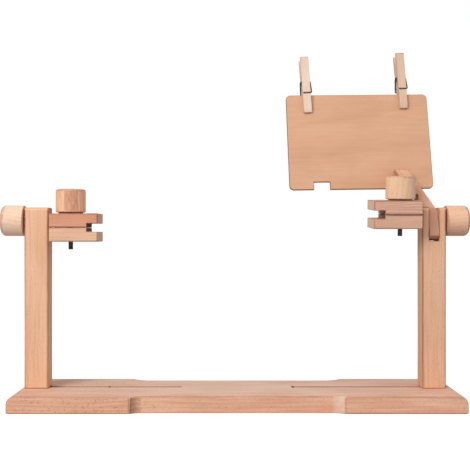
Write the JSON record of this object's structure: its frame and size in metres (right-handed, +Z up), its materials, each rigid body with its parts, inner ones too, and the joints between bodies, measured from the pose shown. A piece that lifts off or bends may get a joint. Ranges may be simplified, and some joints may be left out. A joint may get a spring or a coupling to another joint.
{
  "type": "embroidery table stand",
  "caption": "Wooden table stand for an embroidery frame: slotted base board, two posts with screw clamps, and a tilting chart board with pegs.",
  "frame": {"origin": "middle of the base board's underside, on the table", "axes": "+X to the user's right along the base board, +Y away from the user, +Z up"},
  "size_m": [0.59, 0.144, 0.4529],
  "materials": {
    "base_beech": "sanded beech, satin",
    "post_beech": "sanded beech, satin",
    "jaw_beech": "sanded beech, satin",
    "arm_beech": "sanded beech, satin",
    "knob_wood": "turned wood with end grain",
    "plywood": "beech-faced plywood, matt",
    "peg_wood": "raw pale wood",
    "zinc_steel": "zinc plated",
    "dark_steel": "threaded, dull dark steel",
    "spring_steel": "drawn wire",
    "brass": "dull brass"
  },
  "bodies": {
    "base": {"base_board": "base_beech"},
    "left_carriage": {"left_slot_bolt": "zinc_steel", "left_slot_washer": "zinc_steel"},
    "left_post_body": {"left_post": "post_beech", "left_post_insert": "brass"},
    "right_carriage": {"right_slot_bolt": "zinc_steel", "right_slot_washer": "zinc_steel"},
    "right_post_body": {"right_post": "post_beech", "right_post_insert": "brass"},
    "left_clamp": {"left_fixed_jaw": "jaw_beech", "left_pivot_stud": "dark_steel", "left_pivot_insert": "brass", "left_lock_nut": "zinc_steel", "left_clamp_washer": "zinc_steel"},
    "left_clamp_screw": {"left_clamp_knob": "knob_wood", "left_clamp_stud": "dark_steel"},
    "left_jaw": {"left_loose_jaw": "jaw_beech", "left_jaw_insert": "brass"},
    "right_clamp": {"right_fixed_jaw": "jaw_beech", "right_jaw_insert": "brass", "right_pivot_stud": "dark_steel", "right_pivot_insert": "brass", "right_lock_nut": "zinc_steel"},
    "right_jaw": {"right_loose_jaw": "jaw_beech", "right_clamp_washer": "zinc_steel"},
    "right_clamp_screw": {"right_clamp_knob": "knob_wood", "right_clamp_stud": "dark_steel"},
    "left_side_washer": {"left_pivot_washer": "zinc_steel"},
    "left_side_knob": {"left_pivot_knob": "knob_wood", "left_knob_insert": "brass"},
    "right_side_washer": {"right_pivot_washer": "zinc_steel"},
    "right_side_knob": {"right_pivot_knob": "knob_wood", "right_knob_insert": "brass"},
    "arm": {"chart_arm": "arm_beech"},
    "board": {"chart_board": "plywood"},
    "left_peg": {"left_peg_front": "peg_wood", "left_peg_spring": "spring_steel"},
    "left_peg_lever": {"left_peg_back": "peg_wood"},
    "right_peg": {"right_peg_front": "peg_wood", "right_peg_spring": "spring_steel"},
    "right_peg_lever": {"right_peg_back": "peg_wood"}
  },
  "joints": [
    {"name": "left_slot_slide", "type": "slide", "parent": "base", "child": "left_carriage", "axis": [1, 0, 0], "range_m": [0, 0.115]},
    {"name": "left_post_turn", "type": "hinge", "parent": "left_carriage", "child": "left_post_body", "pos_m": [-0.2515, 0.002, 0.021], "axis": [0, 0, 1], "range_deg": [-30, 30]},
    {"name": "right_slot_slide", "type": "slide", "parent": "base", "child": "right_carriage", "axis": [-1, 0, 0], "range_m": [0, 0.115]},
    {"name": "right_post_turn", "type": "hinge", "parent": "right_carriage", "child": "right_post_body", "pos_m": [0.2465, 0.002, 0.021], "axis": [0, 0, 1], "range_deg": [-30, 30]},
    {"name": "left_clamp_tilt", "type": "hinge", "parent": "left_post_body", "child": "left_clamp", "pos_m": [-0.2515, 0.002, 0.2313], "axis": [1, 0, 0], "range_deg": [-60, 60]},
    {"name": "right_clamp_tilt", "type": "hinge", "parent": "right_post_body", "child": "right_clamp", "pos_m": [0.2465, 0.002, 0.2313], "axis": [0.999, 0.0436, 0], "range_deg": [0, 60]},
    {"name": "left_clamp_turn", "type": "hinge", "parent": "left_clamp", "child": "left_clamp_screw", "pos_m": [-0.2077, -0.0145, 0.2313], "axis": [0, 0, 1], "range_deg": [0, 3240]},
    {"name": "left_jaw_slide", "type": "slide", "parent": "left_clamp", "child": "left_jaw", "axis": [0, 0, -1], "range_m": [0, 0.009]},
    {"name": "right_jaw_slide", "type": "slide", "parent": "right_clamp", "child": "right_jaw", "axis": [0.0027, -0.061, 0.9981], "range_m": [0, 0.004]},
    {"name": "right_clamp_turn", "type": "hinge", "parent": "right_jaw", "child": "right_clamp_screw", "pos_m": [0.20346, -0.01636, 0.23029], "axis": [0.0027, -0.061, 0.9981], "range_deg": [0, 1440]},
    {"name": "left_washer_slide", "type": "slide", "parent": "left_post_body", "child": "left_side_washer", "axis": [-1, 0, 0], "range_m": [0, 0.003]},
    {"name": "left_knob_turn", "type": "hinge", "parent": "left_side_washer", "child": "left_side_knob", "pos_m": [-0.2665, 0.002, 0.2313], "axis": [-1, 0, 0], "range_deg": [0, 1080]},
    {"name": "right_washer_slide", "type": "slide", "parent": "right_post_body", "child": "right_side_washer", "axis": [0.999, 0.0436, 0], "range_m": [0, 0.003]},
    {"name": "right_knob_turn", "type": "hinge", "parent": "right_side_washer", "child": "right_side_knob", "pos_m": [0.26149, 0.00265, 0.2313], "axis": [0.999, 0.0436, 0], "range_deg": [0, 1080]},
    {"name": "arm_tilt", "type": "hinge", "parent": "right_post_body", "child": "arm", "pos_m": [0.2465, 0.002, 0.2313], "axis": [-0.999, -0.0436, 0], "range_deg": [0, 45]},
    {"name": "board_slide", "type": "slide", "parent": "arm", "child": "board", "axis": [-0.0262, 0.241, 0.9702], "range_m": [0, 0.024]},
    {"name": "left_peg_slide", "type": "slide", "parent": "board", "child": "left_peg", "axis": [-0.0593, 0.2393, 0.9691], "range_m": [0, 0.0261]},
    {"name": "left_peg_open", "type": "hinge", "parent": "left_peg", "child": "left_peg_lever", "pos_m": [0.0893, 0.03982, 0.41035], "axis": [0.9973, 0.0554, 0.0474], "range_deg": [0, 14], "stiffness_Nm_per_rad": 0.1, "springref_deg": -34.38, "deforming": ["left_peg_spring"]},
    {"name": "right_peg_slide", "type": "slide", "parent": "board", "child": "right_peg", "axis": [-0.0419, 0.2402, 0.9698], "range_m": [0, 0.0215]},
    {"name": "right_peg_open", "type": "hinge", "parent": "right_peg", "child": "right_peg_lever", "pos_m": [0.21474, 0.04689, 0.41674], "axis": [0.9982, 0.0512, 0.0305], "range_deg": [0, 14], "stiffness_Nm_per_rad": 0.1, "springref_deg": -34.38, "deforming": ["right_peg_spring"]}
  ],
  "couplings": [
    {"joint": "left_clamp_turn", "follows": "left_jaw_slide", "rad_per_m": 6283.2},
    {"joint": "right_clamp_turn", "follows": "right_jaw_slide", "rad_per_m": 6283.2},
    {"joint": "left_knob_turn", "follows": "left_washer_slide", "rad_per_m": 6283.2},
    {"joint": "right_knob_turn", "follows": "right_washer_slide", "rad_per_m": 6283.2}
  ]
}
